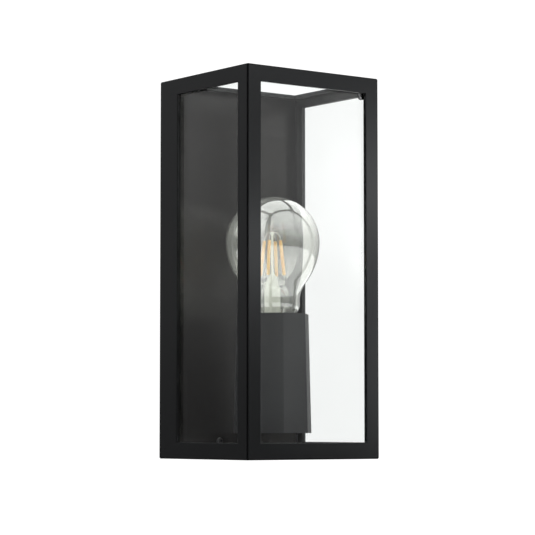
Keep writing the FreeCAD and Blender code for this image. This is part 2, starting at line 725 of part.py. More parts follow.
def glass_line(inset):
    """Half outline of the bulb from its crown to the end of its neck, moved inwards by inset."""
    lean = math.radians(BELLY_ANGLE)
    belly_centre = BULB_R - BELLY_R
    shoulder_r = belly_centre + BELLY_R * math.cos(lean)
    shoulder_z = BULB_Z - BELLY_R * math.sin(lean)
    neck_curve = (shoulder_r - NECK_R) / (1 - math.cos(lean))
    neck_centre = (NECK_R + neck_curve, shoulder_z - neck_curve * math.sin(lean))
    neck = NECK_R - inset
    mouth = MOUTH_R - inset
    edges = [arc((0, BULB_Z), BULB_R - inset, 90, 0),
             arc((belly_centre, BULB_Z), BELLY_R - inset, 0, -BELLY_ANGLE),
             arc(neck_centre, neck_curve + inset, 180 - BELLY_ANGLE, 180)]
    corners = [V(neck, 0, neck_centre[1]), V(neck, 0, NECK_END), V(mouth, 0, MOUTH_TOP),
               V(mouth, 0, MOUTH_END)]
    return edges + [Part.LineSegment(a, b).toShape() for a, b in zip(corners, corners[1:])], corners[-1]


def bulb_glass():
    outer, outer_end = glass_line(0)
    inner, inner_end = glass_line(BULB_WALL)
    crown = Part.LineSegment(V(0, 0, BULB_Z + BULB_R), V(0, 0, BULB_Z + BULB_R - BULB_WALL)).toShape()
    mouth = Part.LineSegment(outer_end, inner_end).toShape()
    outline = Part.Wire(Part.__sortEdges__(outer + inner + [crown, mouth]))
    solid = Part.Face(outline).revolve(V(0, 0, 0), UP, 360)
    solid.translate(V(0, LAMP_Y, 0))
    return solid


STEM_R = 5.2
STEM_SHOULDER = -11.0
STEM_TOP = -3.1
MAST_R = 0.8
MAST_TOP = 24.0


def bulb_stem():
    """Flared glass foot sealed into the neck, its tube, and the thin mast in the middle."""
    return turned([(0, MAST_TOP), (MAST_R, MAST_TOP), (MAST_R, STEM_TOP), (2.6, STEM_TOP - 3.2),
                   (STEM_R, STEM_SHOULDER), (STEM_R, -29), (7.0, -33), (10.9, -36.5), (10.9, -37.3),
                   (6.6, -34), (STEM_R - 1, -29.5), (STEM_R - 1, STEM_SHOULDER - 1), (0, STEM_SHOULDER)])


FILAMENT_R = 1.25
FILAMENT_TOP = (5.6, 18.2)      # radius from the mast and height
FILAMENT_FOOT = (8.2, -5.0)
FILAMENT_TURN = 33.2
LEAD_R = 0.25


def filament_ends():
    """Top and foot of each filament, spread evenly round the mast."""
    ends = []
    for k in range(FILAMENTS):
        a = math.radians(FILAMENT_TURN + 360.0 * k / FILAMENTS)
        top, foot = [V(r * math.cos(a), LAMP_Y + r * math.sin(a), z)
                     for r, z in (FILAMENT_TOP, FILAMENT_FOOT)]
        ends.append((top, foot))
    return ends


def filaments():
    return [rod(FILAMENT_R, foot, top) for top, foot in filament_ends()]


def filament_leads():
    """Bare wires: from the mast's head to each top end and from each foot into the stem."""
    wires = []
    for top, foot in filament_ends():
        to_mast = V(0, LAMP_Y, 0).sub(V(top.x, top.y, 0)).normalize()
        mast = V(0, LAMP_Y, MAST_TOP - 1.5).sub(to_mast * (MAST_R + 0.3))
        stem = V(0, LAMP_Y, -12).sub(to_mast * (STEM_R + 0.3))
        along_wire = top.sub(foot).normalize()
        wires.append(rod(LEAD_R, top.add(along_wire * LEAD_R), mast))
        wires.append(rod(LEAD_R, stem, foot.sub(along_wire * LEAD_R)))
    return wires


def cap_insulator():
    low = TIP_Z + 1.6
    return turned([(0, low), (5.2, low), (9.2, CAP_BOTTOM), (9.2, CAP_BOTTOM + 1.2), (0, CAP_BOTTOM + 1.2)])


def cap_contact():
    high = TIP_Z + 1.55
    return turned([(0, TIP_Z), (2.0, TIP_Z), (4.0, TIP_Z + 0.7), (4.7, high), (0, high)])


def lamp_driver():
    """Round driver board with its two upright parts, hidden in the cap."""
    board = rod(8.5, V(0, LAMP_Y, -47.0), V(0, LAMP_Y, -45.6))
    coil = rod(3.2, V(3.6, LAMP_Y, -45.6), V(3.6, LAMP_Y, -40.0))
    can = rod(2.6, V(-4.0, LAMP_Y, -45.6), V(-4.0, LAMP_Y, -39.0))
    return fused([board, coil, can])


NODES = {
    "wall_bracket": wall_bracket, "cable_grommet": cable_grommet, "backplate": backplate,
    "wall_gasket": wall_gasket, "cage_screws": cage_screws, "tray_screws": tray_screws,
    "spacer_washers": spacer_washers, "terminal_block": terminal_block,
    "terminal_screws": terminal_screws, "block_screws": block_screws, "earth_tag": earth_tag,
    "earth_screw": earth_screw, "earth_wire": earth_wire,
    "live_wire": lambda: lamp_wire(-1), "neutral_wire": lambda: lamp_wire(1),
    "wire_bushing": wire_bushing, "arm": arm, "arm_screws": arm_screws, "arm_nuts": arm_nuts,
    "sleeve": sleeve, "nipple": nipple, "nipple_nuts": nipple_nuts, "lock_washer": lock_washer,
    "socket_body": socket_body, "socket_base": socket_base, "socket_shell": socket_shell,
    "socket_contact": socket_contact,
    "front_frame": front_frame, "left_frame": lambda: side_frame(-1),
    "right_frame": lambda: side_frame(1), "top_frame": lambda: end_frame(1, M4_R + 0.3),
    "bottom_frame": lambda: end_frame(-1, 4.4), "front_pane": front_pane,
    "left_pane": lambda: side_pane(-1), "right_pane": lambda: side_pane(1), "top_pane": top_pane,
    "front_gasket": front_gasket, "left_gasket": lambda: side_gasket(-1),
    "right_gasket": lambda: side_gasket(1), "top_gasket": top_gasket, "top_clips": top_clips,
    "clip_studs": clip_studs, "clip_nuts": clip_nuts, "corner_angles": corner_angles,
    "bulb_glass": bulb_glass, "bulb_stem": bulb_stem, "filaments": filaments,
    "filament_leads": filament_leads, "bulb_cap": bulb_cap, "cap_insulator": cap_insulator,
    "cap_contact": cap_contact, "lamp_driver": lamp_driver,
}

for name, make in NODES.items():
    save(name, make())
print(len(NODES), "nodes written")
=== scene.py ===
# %% [markdown]
# # An outdoor wall lantern
# A glazed cage of black sheet steel hangs in front of a tray on the wall. Inside stands a clear
# filament lamp in an eight-sided sleeve. The metalwork comes from the CAD model, so here it only
# gets its finishes. The lamp's blown glass, its stem and its filaments are modelled anew, because
# thin glass needs cleaner walls and softer turns than an engineering mesh has.

# %% Load the frame
import math

import bpy
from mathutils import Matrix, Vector


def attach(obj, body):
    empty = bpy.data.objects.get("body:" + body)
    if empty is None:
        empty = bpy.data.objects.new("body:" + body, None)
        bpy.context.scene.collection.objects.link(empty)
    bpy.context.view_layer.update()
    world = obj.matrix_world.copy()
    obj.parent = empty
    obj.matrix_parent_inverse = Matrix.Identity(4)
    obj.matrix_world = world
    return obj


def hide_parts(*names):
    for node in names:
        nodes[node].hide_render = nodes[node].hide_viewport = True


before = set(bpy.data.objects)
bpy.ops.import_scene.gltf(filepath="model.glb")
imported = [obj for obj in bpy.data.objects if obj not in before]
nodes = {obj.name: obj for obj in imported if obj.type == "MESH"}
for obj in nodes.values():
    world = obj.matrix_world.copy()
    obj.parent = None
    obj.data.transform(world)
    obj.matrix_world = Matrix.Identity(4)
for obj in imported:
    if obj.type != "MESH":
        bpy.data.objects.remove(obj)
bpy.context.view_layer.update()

# %% [markdown]
# ## Small tools
# Operators work on whatever is selected, so each new piece starts with nothing selected. The CAD
# was drawn in millimetres and Blender works in metres: one constant keeps the numbers readable.

# %% Units and selection
MM = 0.001
LAMP_AXIS = Vector((0, -54.9 * MM, 0))
STEM_SHIFT = Vector((-1.0, 0.75, 0)) * MM   # hand-blown: the stem sits off the bulb's axis
MOUNT_AXIS = LAMP_AXIS + STEM_SHIFT


def clear_selection():
    if bpy.context.object and bpy.context.object.mode != "OBJECT":
        bpy.ops.object.mode_set(mode="OBJECT")
    bpy.ops.object.select_all(action="DESELECT")


def seat_mesh(piece):
    """Put the object's place into its mesh, so that patterns find it at origin."""
    clear_selection()
    piece.select_set(True)
    bpy.context.view_layer.objects.active = piece
    bpy.ops.object.transform_apply(location=True, rotation=True, scale=True)


def report(piece):
    size = [round(d / MM, 1) for d in piece.dimensions]
    print(piece.name, len(piece.data.polygons), "faces", size, "mm")


clear_selection()
print("ready; the lamp stands at", tuple(round(v, 4) for v in LAMP_AXIS))


# %% [markdown]
# ## Shared effects
# An effect that several finishes need is built once as a node group with named sockets. Each
# finish then places the group and sets its own values. Everything reads Object coordinates, which
# are metres on this lantern, so a scale of 1000 puts about one feature on each millimetre.

# %% A maker for node groups
def new_group(name, inputs, outputs):
    """A shader group; inputs are lists of (name, kind, default), outputs of (name, kind)."""
    tree = bpy.data.node_groups.new(name, "ShaderNodeTree")
    for label, kind, default in inputs:
        socket = tree.interface.new_socket(label, in_out="INPUT", socket_type="NodeSocket" + kind)
        socket.default_value = default
    for label, kind in outputs:
        tree.interface.new_socket(label, in_out="OUTPUT", socket_type="NodeSocket" + kind)
    given = tree.nodes.new("NodeGroupInput").outputs
    made = tree.nodes.new("NodeGroupOutput").inputs
    return tree, given, made


def add_node(tree, kind, links=None, **settings):
    """One node; settings are its properties, links its inputs as values or other nodes' sockets."""
    node = tree.nodes.new("ShaderNode" + kind)
    for key, value in settings.items():
        setattr(node, key, value)
    for key, value in (links or {}).items():
        if isinstance(value, bpy.types.NodeSocket):
            tree.links.new(value, node.inputs[key])
        else:
            node.inputs[key].default_value = value
    return node


def noise(tree, place, scale, detail=2.0):
    """A noise value, 0 to 1, at a scale that is a number or a socket."""
    settings = {"Vector": place, "Scale": scale, "Detail": detail}
    return add_node(tree, "TexNoise", settings).outputs[0]


def spread(tree, value, low, high):
    """A noise value moved to the range low..high; noise seldom leaves its middle, 0.3 to 0.7."""
    settings = {"Value": value, "From Min": 0.3, "From Max": 0.7, "To Min": low, "To Max": high}
    return add_node(tree, "MapRange", settings).outputs[0]


def shifted(tree, base, amount, swing):
    """A base value moved by a swinging value times an amount."""
    settings = {0: swing, 1: amount, 2: base}
    return add_node(tree, "Math", settings, operation="MULTIPLY_ADD").outputs[0]


def tinted(tree, colour, factor):
    """A colour made lighter or darker by a factor that changes over the surface."""
    return add_node(tree, "VectorMath", {0: colour, "Scale": factor}, operation="SCALE").outputs[0]


MID_GREY = (0.5, 0.5, 0.5, 1)
SURFACE = [("Color", "Color"), ("Roughness", "Float"), ("Height", "Float")]   # what each puts out
print("tools for node groups are ready")


# %% [markdown]
# Powder coat is baked dust: it flows into a fine orange-peel relief, and its gloss is never quite
# even. A fine noise makes the relief, a coarse one the gloss and the slight shifts of tone.

# %% Powder coat and other grain
grain, given, made = new_group(
    "grain",
    [("Color", "Color", MID_GREY), ("Roughness", "Float", 0.5), ("Pebbles", "Float", 1200.0),
     ("Clouds", "Float", 25.0), ("Tone Shift", "Float", 0.1), ("Gloss Shift", "Float", 0.05)],
    SURFACE)
place = add_node(grain, "TexCoord").outputs["Object"]
pebbles = noise(grain, place, given["Pebbles"], 3.0)
clouds = noise(grain, place, given["Clouds"], 4.0)
shade = shifted(grain, 1.0, given["Tone Shift"], spread(grain, clouds, -1.0, 1.0))
fleck = shifted(grain, shade, given["Tone Shift"], spread(grain, pebbles, -0.5, 0.5))
gloss = shifted(grain, given["Roughness"], given["Gloss Shift"], spread(grain, clouds, -1.0, 1.0))
grain.links.new(tinted(grain, given["Color"], fleck), made["Color"])
grain.links.new(gloss, made["Roughness"])
grain.links.new(pebbles, made["Height"])
print("group", grain.name, len(grain.nodes), "nodes")

# %% [markdown]
# Rolled and drawn metal has fine lines along the way it was pulled. Noise that is squeezed along
# one axis makes them: a big number in Lines means many lines across that axis.

# %% Drawn metal
drawn, given, made = new_group(
    "drawn_lines",
    [("Color", "Color", MID_GREY), ("Roughness", "Float", 0.3), ("Lines", "Vector", (1, 1, 1)),
     ("Tone Shift", "Float", 0.1), ("Gloss Shift", "Float", 0.08)],
    SURFACE)
place = add_node(drawn, "TexCoord").outputs["Object"]
squeezed = add_node(drawn, "VectorMath", {0: place, 1: given["Lines"]}, operation="MULTIPLY")
lines = noise(drawn, squeezed.outputs[0], 1.0, 4.0)
stains = noise(drawn, place, 140.0, 3.0)
line_tone = shifted(drawn, 1.0, given["Tone Shift"], spread(drawn, lines, -1.0, 1.0))
stain_tone = add_node(drawn, "Math", {0: line_tone, 1: spread(drawn, stains, 0.9, 1.05)},
                      operation="MULTIPLY").outputs[0]
gloss = shifted(drawn, given["Roughness"], given["Gloss Shift"], spread(drawn, lines, -1.0, 1.0))
drawn.links.new(tinted(drawn, given["Color"], stain_tone), made["Color"])
drawn.links.new(gloss, made["Roughness"])
drawn.links.new(lines, made["Height"])
print("group", drawn.name, len(drawn.nodes), "nodes")

# %% [markdown]
# Every finish is one Principled shader. What is the same all over is a plain value on the shader's
# own socket. What changes over the surface comes out of a group, and its height goes through a
# Bump node whose distance is the depth of the relief, mostly under a tenth of a millimetre.

# %% A maker for finishes
def finish(name, group, group_values, bump_mm=0.0, **plain):
    """A new material: plain values by socket name, then a group for colour, gloss and relief."""
    mat = bpy.data.materials.new(name)
    mat.use_nodes = True
    tree = mat.node_tree
    shader = tree.nodes["Principled BSDF"]
    for key, value in plain.items():
        shader.inputs[key.replace("_", " ")].default_value = value
    node = tree.nodes.new("ShaderNodeGroup")
    node.node_tree = group
    for key, value in group_values.items():
        node.inputs[key].default_value = value
    tree.links.new(node.outputs["Color"], shader.inputs["Base Color"])
    tree.links.new(node.outputs["Roughness"], shader.inputs["Roughness"])
    if bump_mm:
        relief = {"Height": node.outputs["Height"], "Distance": bump_mm * MM, "Strength": 1.0}
        tree.links.new(add_node(tree, "Bump", relief).outputs[0], shader.inputs["Normal"])
    return mat


def grey(level):
    return (level, level, level, 1)


def dress(mat, *names):
    """Give CAD nodes a finish."""
    for name in names:
        mesh = nodes[name].data
        mesh.materials.clear()
        mesh.materials.append(mat)
    print(mat.name, "on", ", ".join(names))


# %% [markdown]
# ## Painted metal
# The cage has a satin black powder coat with a fine texture. The tray behind the lamp is smoother,
# so the sleeve and the lamp mirror softly in it. The sleeve is a shade lighter than both.

# %% Paints
frame_paint = finish("satin_black_powder_coat", grain,
                     {"Color": (0.0085, 0.0089, 0.0098, 1), "Roughness": 0.33, "Pebbles": 2600.0,
                      "Clouds": 30.0, "Tone Shift": 0.16, "Gloss Shift": 0.02}, bump_mm=0.006,
                     Specular_Tint=(0.95, 0.98, 1.0, 1))
dress(frame_paint, "front_frame", "left_frame", "right_frame", "top_frame", "bottom_frame")
tray_paint = finish("semi_gloss_black_coat", grain,
                    {"Color": (0.0115, 0.0108, 0.0105, 1), "Roughness": 0.26, "Pebbles": 9000.0,
                     "Clouds": 18.0, "Tone Shift": 0.06, "Gloss Shift": 0.004},
                    Specular_Tint=(1.0, 0.98, 0.955, 1))
dress(tray_paint, "backplate", "arm")
sleeve_paint = finish("satin_grey_black_paint", grain,
                      {"Color": (0.018, 0.0185, 0.0195, 1), "Roughness": 0.30, "Pebbles": 9000.0,
                       "Clouds": 40.0, "Tone Shift": 0.08, "Gloss Shift": 0.005})
dress(sleeve_paint, "sleeve")
screw_black = finish("blackened_steel", grain,
                     {"Color": (0.020, 0.020, 0.021, 1), "Roughness": 0.30, "Pebbles": 3000.0,
                      "Clouds": 200.0, "Tone Shift": 0.25, "Gloss Shift": 0.08}, bump_mm=0.004)
dress(screw_black, "cage_screws", "arm_screws")
clip_black = finish("black_spring_steel", drawn,
                    {"Color": (0.024, 0.024, 0.026, 1), "Roughness": 0.34, "Lines": (900, 900, 60),
                     "Tone Shift": 0.2, "Gloss Shift": 0.06}, bump_mm=0.003)
dress(clip_black, "top_clips", "corner_angles")

# %% [markdown]
# ## Rubber, plastics and ceramics
# These parts hide inside the tray, the sleeve and the joints, but they show when the cage is off.
# Cellular rubber is matt and pitted, nylon is waxy with light passing into it, and the unglazed
# porcelain of the lampholder is a dry, faintly speckled white.

# %% Soft and moulded parts
cell_rubber = finish("cellular_rubber", grain,
                     {"Color": (0.018, 0.018, 0.018, 1), "Roughness": 0.86, "Pebbles": 1500.0,
                      "Clouds": 90.0, "Tone Shift": 0.3, "Gloss Shift": 0.05}, bump_mm=0.05)
dress(cell_rubber, "front_gasket", "left_gasket", "right_gasket", "top_gasket", "wall_gasket")
moulded_rubber = finish("moulded_rubber", grain,
                        {"Color": (0.024, 0.024, 0.025, 1), "Roughness": 0.62, "Pebbles": 2400.0,
                         "Clouds": 70.0, "Tone Shift": 0.2, "Gloss Shift": 0.06}, bump_mm=0.01)
dress(moulded_rubber, "cable_grommet")
nylon = finish("natural_nylon", grain,
               {"Color": (0.80, 0.78, 0.72, 1), "Roughness": 0.42, "Pebbles": 1800.0,
                "Clouds": 60.0, "Tone Shift": 0.04, "Gloss Shift": 0.06}, bump_mm=0.006,
               Subsurface_Weight=0.25, Subsurface_Scale=0.002)
dress(nylon, "wire_bushing")
block_white = finish("white_polyamide", grain,
                     {"Color": (0.78, 0.78, 0.75, 1), "Roughness": 0.45, "Pebbles": 2000.0,
                      "Clouds": 80.0, "Tone Shift": 0.04, "Gloss Shift": 0.05}, bump_mm=0.006,
                     Subsurface_Weight=0.15, Subsurface_Scale=0.0015)
dress(block_white, "terminal_block")
porcelain = finish("unglazed_porcelain", grain,
                   {"Color": (0.80, 0.79, 0.75, 1), "Roughness": 0.55, "Pebbles": 3200.0,
                    "Clouds": 120.0, "Tone Shift": 0.06, "Gloss Shift": 0.08}, bump_mm=0.012,
                   Subsurface_Weight=0.1, Subsurface_Scale=0.001)
dress(porcelain, "socket_body", "socket_base")

# %% [markdown]
# ## Bare metals
# Zinc plate is grey and a little cloudy, and brass is yellow. The dome nuts under the top frame
# have a dark, glossy nickel. The cap of the lamp is bright nickel that was rolled, so its lines
# run round it.

# %% Bare metals
ROUND_LINES = (150, 150, 6000)
ANY_LINES = (1400, 1400, 1400)
zinc = finish("zinc_plated_steel", drawn,
              {"Color": (0.50, 0.51, 0.53, 1), "Roughness": 0.34, "Lines": (500, 2500, 260),
               "Tone Shift": 0.1, "Gloss Shift": 0.1}, bump_mm=0.003, Metallic=1.0)
dress(zinc, "wall_bracket", "tray_screws", "arm_nuts", "clip_studs", "nipple_nuts", "lock_washer",
      "nipple", "block_screws", "spacer_washers", "terminal_screws")
black_nickel = finish("black_nickel_plate", drawn,
                      {"Color": (0.20, 0.20, 0.205, 1), "Roughness": 0.16, "Lines": (400, 400, 400),
                       "Tone Shift": 0.1, "Gloss Shift": 0.05}, Metallic=1.0)
dress(black_nickel, "clip_nuts")
brass = finish("plain_brass", drawn,
               {"Color": (0.70, 0.50, 0.22, 1), "Roughness": 0.28, "Lines": ANY_LINES,
                "Tone Shift": 0.08, "Gloss Shift": 0.1}, bump_mm=0.002, Metallic=1.0)
dress(brass, "earth_tag", "earth_screw", "socket_contact")
shell_nickel = finish("nickel_plated_brass", drawn,
                      {"Color": (0.62, 0.58, 0.47, 1), "Roughness": 0.26, "Lines": ROUND_LINES,
                       "Tone Shift": 0.08, "Gloss Shift": 0.1}, bump_mm=0.002, Metallic=1.0)
dress(shell_nickel, "socket_shell")
cap_nickel = finish("rolled_nickel_cap", drawn,
                    {"Color": (0.66, 0.65, 0.61, 1), "Roughness": 0.2, "Lines": ROUND_LINES,
                     "Tone Shift": 0.06, "Gloss Shift": 0.08}, bump_mm=0.002, Metallic=1.0)
dress(cap_nickel, "bulb_cap")
tinned = finish("tinned_contact", grain,
                {"Color": (0.56, 0.56, 0.57, 1), "Roughness": 0.3, "Pebbles": 1500.0,
                 "Clouds": 500.0, "Tone Shift": 0.12, "Gloss Shift": 0.12}, bump_mm=0.02,
                Metallic=1.0)
dress(tinned, "cap_contact")

# %% [markdown]
# ## Wires, board and insulator
# The wires have the usual colours for live, neutral and earth, all in the same smooth insulation.
# Earth wire is green with a yellow stripe: a wave pattern that runs slantwise is cut by a ramp
# with no blend into the two colours.

# %% Wiring
EARTH_GREEN, EARTH_YELLOW = (0.10, 0.36, 0.05, 1), (0.75, 0.62, 0.05, 1)


def insulation(name, colour):
    return finish(name, grain, {"Color": colour, "Roughness": 0.4, "Pebbles": 1500.0,
                                "Clouds": 80.0, "Tone Shift": 0.08, "Gloss Shift": 0.05},
                  bump_mm=0.004)


dress(insulation("brown_insulation", (0.16, 0.07, 0.035, 1)), "live_wire")
dress(insulation("blue_insulation", (0.03, 0.13, 0.42, 1)), "neutral_wire")
earth = insulation("green_yellow_insulation", EARTH_GREEN)
tree = earth.node_tree
place = add_node(tree, "TexCoord").outputs["Object"]
wave = add_node(tree, "TexWave", {"Vector": place, "Scale": 60.0}, bands_direction="DIAGONAL")
stripe = add_node(tree, "ValToRGB", {"Fac": wave.outputs["Fac"]})
stripe.color_ramp.interpolation = "CONSTANT"
stripe.color_ramp.elements[1].position = 0.62
stripe.color_ramp.elements[1].color = EARTH_YELLOW
stripe.color_ramp.elements[0].color = EARTH_GREEN
tree.links.new(stripe.outputs["Color"], tree.nodes["Group"].inputs["Color"])
dress(earth, "earth_wire")

# %% [markdown]
# The lamp's cap is closed by black glass round its contact, and the driver inside it is a small
# green circuit board.

# %% Insulator and board
black_glass = finish("black_glass_insulator", grain,
                     {"Color": (0.012, 0.012, 0.014, 1), "Roughness": 0.12, "Pebbles": 900.0,
                      "Clouds": 200.0, "Tone Shift": 0.1, "Gloss Shift": 0.06}, bump_mm=0.01,
                     Coat_Weight=0.5, Coat_Roughness=0.05)
dress(black_glass, "cap_insulator")
board = finish("circuit_board", grain,
               {"Color": (0.035, 0.16, 0.06, 1), "Roughness": 0.4, "Pebbles": 1800.0,
                "Clouds": 300.0, "Tone Shift": 0.3, "Gloss Shift": 0.1}, bump_mm=0.02)
dress(board, "lamp_driver")

# %% [markdown]
# ## Pane glass
# Float glass is clear, with a trace of green and faint smears that change its gloss. Solid glass
# would keep lamps from lighting what is behind it, so for shadow rays and for soft light the pane
# is a plain clear film instead. The two Mix Shaders that choose between them stay in the material.

# %% A maker for glass
smears, given, made = new_group(
    "smears",
    [("Color", "Color", (1, 1, 1, 1)), ("Roughness", "Float", 0.0), ("Amount", "Float", 0.02),
     ("Scale", "Float", 30.0)],
    SURFACE)
place = add_node(smears, "TexCoord").outputs["Object"]
wipes = noise(smears, place, given["Scale"], 6.0)
haze = shifted(smears, given["Roughness"], given["Amount"], spread(smears, wipes, 0.0, 1.0))
smears.links.new(tinted(smears, given["Color"], spread(smears, wipes, 0.985, 1.0)), made["Color"])
smears.links.new(haze, made["Roughness"])
smears.links.new(wipes, made["Height"])


def let_light_in(mat, clear, seen=None):
    """Shadow rays and soft light pass the glass as through a clear film of that colour."""
    tree = mat.node_tree
    output = tree.nodes["Material Output"]
    path = add_node(tree, "LightPath")
    film = add_node(tree, "BsdfTransparent", {"Color": clear})
    shown = seen or tree.nodes["Principled BSDF"].outputs[0]
    for ray in ("Is Shadow Ray", "Is Diffuse Ray"):
        mix = tree.nodes.new("ShaderNodeMixShader")
        tree.links.new(path.outputs[ray], mix.inputs[0])
        tree.links.new(shown, mix.inputs[1])
        tree.links.new(film.outputs[0], mix.inputs[2])
        shown = mix.outputs[0]
    tree.links.new(shown, output.inputs["Surface"])


# %% Side and front panes
PANE_SMEARS = {"Color": (0.985, 0.995, 0.99, 1), "Roughness": 0.0, "Amount": 0.015, "Scale": 30.0}
PANE_IOR = 1.46
pane_glass = finish("clear_float_glass", smears, PANE_SMEARS, Transmission_Weight=1.0, IOR=PANE_IOR)
let_light_in(pane_glass, (0.95, 0.96, 0.955, 1))
dress(pane_glass, "front_pane", "left_pane", "right_pane")

# %% [markdown]
# The top pane is seen almost edge on, where the glass above mirrors so much of the dim room that
# the white behind it is lost. A real pane would mirror a brighter room there. This one only bends
# light and mirrors nothing, which is not how real glass behaves but keeps the view through it.

# %% Top pane
top_glass = bpy.data.materials.new("mirror_free_glass")
top_glass.use_nodes = True
tree = top_glass.node_tree
tree.nodes.remove(tree.nodes["Principled BSDF"])
wiped = tree.nodes.new("ShaderNodeGroup")
wiped.node_tree = smears
for key, value in PANE_SMEARS.items():
    wiped.inputs[key].default_value = value
bent = add_node(tree, "BsdfRefraction", {"Color": wiped.outputs["Color"], "IOR": PANE_IOR,
                                         "Roughness": wiped.outputs["Roughness"]})
let_light_in(top_glass, (0.97, 0.98, 0.975, 1), bent.outputs[0])
dress(top_glass, "top_pane")

# %% [markdown]
# ## The blown glass of the lamp
# A pear-shaped bulb is blown into a mould, so it is a shape of revolution: a round crown, a long
# belly and a curve that turns out into the neck. One point is extruded along that outline, the
# line is spun round the lamp's axis, and Solidify gives the wall its thickness inwards.

# %% Outline helpers
def arc_points(centre, radius, first, last, count):
    """Points (r, z) on an arc, in mm, from one angle to another in degrees."""
    points = []
    for k in range(count + 1):
        a = math.radians(first + (last - first) * k / count)
        points.append((centre[0] + radius * math.cos(a), centre[1] + radius * math.sin(a)))
    return points


WELD = 0.002 * MM     # points closer than this are one


def spun(name, outline, steps, axis=LAMP_AXIS):
    """Extrude one point along an outline of (r, z) in mm, then spin it round an upright axis."""
    clear_selection()
    bpy.ops.mesh.primitive_plane_add(size=MM, location=axis)
    piece = bpy.context.object
    piece.name = piece.data.name = name
    bpy.ops.object.mode_set(mode="EDIT")
    bpy.ops.mesh.select_all(action="SELECT")
    bpy.ops.mesh.merge(type="CENTER")
    bpy.ops.transform.translate(value=(outline[0][0] * MM, 0, outline[0][1] * MM))
    for (r0, z0), (r1, z1) in zip(outline, outline[1:]):
        bpy.ops.mesh.extrude_vertices_move(
            TRANSFORM_OT_translate={"value": ((r1 - r0) * MM, 0, (z1 - z0) * MM)})
    bpy.ops.mesh.select_all(action="SELECT")
    bpy.ops.mesh.spin(steps=steps, angle=2 * math.pi, center=axis, axis=(0, 0, 1))
    bpy.ops.mesh.select_all(action="SELECT")
    bpy.ops.mesh.remove_doubles(threshold=WELD)
    bpy.ops.mesh.normals_make_consistent(inside=False)
    bpy.ops.object.mode_set(mode="OBJECT")
    seat_mesh(piece)
    bpy.ops.object.shade_smooth()
    return piece


def apply_modifier(piece, kind, **settings):
    clear_selection()
    piece.select_set(True)
    bpy.context.view_layer.objects.active = piece
    modifier = piece.modifiers.new(kind.title(), kind)
    for key, value in settings.items():
        setattr(modifier, key, value)
    bpy.ops.object.modifier_apply(modifier=modifier.name)


# %% Blow the bulb
BULB_R, BULB_Z = 29.8, 17.0      # mm: the round crown's radius and the height of its centre
BELLY_R, BELLY_ANGLE = 44.0, 37.0
NECK_R, NECK_END = 16.8, -25.5
MOUTH_R, MOUTH_TOP = 11.7, -34.6
MOUTH_LENGTH = 2.9               # the part that is glued into the cap
GLASS_WALL = 0.8
BULB_STEPS = 128                 # round the axis; the next three are along the outline
CROWN_STEPS, BELLY_STEPS, CURVE_STEPS = 30, 14, 12
lean = math.radians(BELLY_ANGLE)
belly_x = BULB_R - BELLY_R
shoulder = (belly_x + BELLY_R * math.cos(lean), BULB_Z - BELLY_R * math.sin(lean))
neck_curve = (shoulder[0] - NECK_R) / (1 - math.cos(lean))
neck_centre = (NECK_R + neck_curve, shoulder[1] - neck_curve * math.sin(lean))
pear = (arc_points((0, BULB_Z), BULB_R, 90, 0, CROWN_STEPS)
        + arc_points((belly_x, BULB_Z), BELLY_R, 0, -BELLY_ANGLE, BELLY_STEPS)[1:]
        + arc_points(neck_centre, neck_curve, 180 - BELLY_ANGLE, 180, CURVE_STEPS)[1:]
        + [(NECK_R, NECK_END), (16.3, NECK_END - 1.4), (14.9, NECK_END - 4.0),
           (12.9, NECK_END - 7.2), (MOUTH_R, MOUTH_TOP), (MOUTH_R, MOUTH_TOP - MOUTH_LENGTH)])
clear_bulb = spun("clear_bulb", pear, BULB_STEPS)
apply_modifier(clear_bulb, "SOLIDIFY", thickness=GLASS_WALL * MM, offset=-1.0)
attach(clear_bulb, "lamp")
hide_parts("bulb_glass")
report(clear_bulb)

# %% [markdown]
# The bulb shows as a silver grey veil over what is behind it. To get that from a few lights, its
# glass mirrors more than real glass does, with an index of 1.8 in place of 1.5, and a thin milky
# share in it catches the light. The walls are thin, so the view through them is hardly bent.

# %% Bulb glass
bulb_clear = finish("clear_blown_glass", smears,
                    {"Color": (0.97, 0.975, 0.945, 1), "Roughness": 0.0, "Amount": 0.02,
                     "Scale": 45.0}, Transmission_Weight=0.94, IOR=1.8)
let_light_in(bulb_clear, (0.92, 0.93, 0.90, 1))
clear_bulb.data.materials.append(bulb_clear)
print(clear_bulb.name, "has", bulb_clear.name)

# %% [markdown]
# ## The stem
# A flared glass tube is sealed into the neck. At its head the glass is pinched flat round the
# wires, and a thin mast with a small knob stands up from there. The flare and tube are spun, then
# the head is squeezed in one direction, as the glass worker's pliers do.

# %% Turn and pinch the stem
SHOULDER_Z, STEM_HEAD_Z = -11.0, -3.1       # mm: the head is between these heights
TUBE_R, MAST_R, KNOB_R = 5.35, 0.8, 1.25
PINCH = 0.62
STEM_STEPS = 64
stem_flare = [(10.9, -37.3), (10.9, -36.5), (8.6, -34.6), (7.0, -33.0), (6.1, -31.2), (5.5, -29.0)]
stem_tube = [(TUBE_R, z) for z in (-26, -23, -20, -17, -14)]
stem_head = [(5.3, -12.4), (5.1, SHOULDER_Z), (4.5, -8.8), (3.6, -6.6), (2.4, -4.8), (1.3, -3.6),
             (0.9, STEM_HEAD_Z)]
mast = ([(MAST_R, z) for z in (0.0, 8.0, 16.0, 21.4)]
        + [(1.0, 22.2), (KNOB_R, 22.9), (KNOB_R, 23.3), (0.9, 23.8), (0, 24.0)])
outline = stem_flare + stem_tube + stem_head + mast
glass_stem = spun("glass_stem", outline, STEM_STEPS, MOUNT_AXIS)
bpy.ops.object.mode_set(mode="EDIT")
bpy.ops.mesh.select_all(action="DESELECT")
bpy.ops.object.mode_set(mode="OBJECT")
